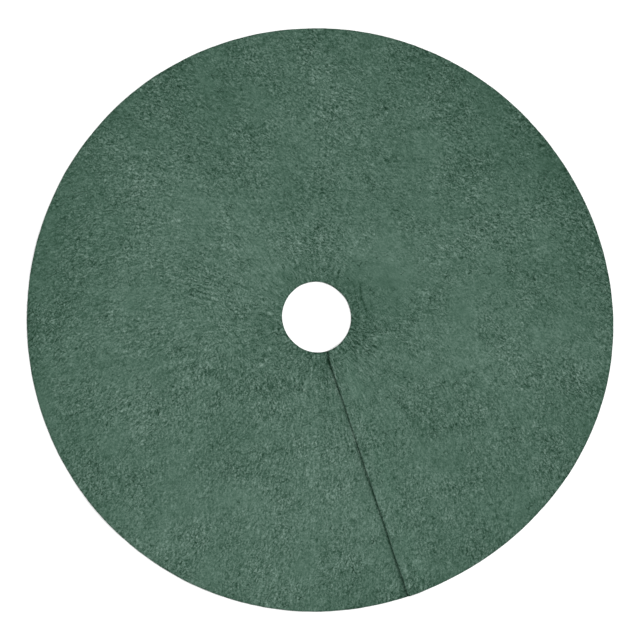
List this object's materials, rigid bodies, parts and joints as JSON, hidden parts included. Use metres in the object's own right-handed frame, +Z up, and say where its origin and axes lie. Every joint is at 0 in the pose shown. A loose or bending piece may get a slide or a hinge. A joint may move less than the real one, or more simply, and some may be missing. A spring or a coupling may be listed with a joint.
{
  "type": "tree skirt",
  "caption": "Round felt tree skirt with a trunk hole and a radial slit, closed by overlapping fold-back flaps with hidden hook and loop strips.",
  "frame": {"origin": "centre of the outer circle, on the floor", "axes": "+Z up out of the floor; -Y from the trunk hole along the slit to the rim; +X to the side whose felt lies on top at the slit"},
  "size_m": [1.2199, 1.22, 0.0087],
  "materials": {
    "felt": "needle-punched felt, dark sage green, matte, clean cut edges",
    "hook_tape": "moulded nylon hooks on a dark green backing",
    "loop_tape": "brushed nylon loops on a dark green backing"
  },
  "bodies": {
    "panel": {"felt_panel": "felt"},
    "right_flap": {"overlap_flap": "felt", "hook_strip_inner": "hook_tape", "hook_strip_middle": "hook_tape", "hook_strip_outer": "hook_tape"},
    "left_flap": {"underlap_flap": "felt", "loop_strip_inner": "loop_tape", "loop_strip_middle": "loop_tape", "loop_strip_outer": "loop_tape"}
  },
  "joints": [
    {"name": "right_fold", "type": "hinge", "parent": "panel", "child": "right_flap", "pos_m": [0.0585, -0.3, 0.003], "axis": [0, 1, 0], "range_deg": [0, 165]},
    {"name": "left_fold", "type": "hinge", "parent": "panel", "child": "left_flap", "pos_m": [-0.03967, -0.3, 0.003], "axis": [0, -1, 0], "range_deg": [0, 150]}
  ],
  "couplings": [
    {"joint": "left_fold", "follows": "right_fold", "ratio": 0.9}
  ]
}
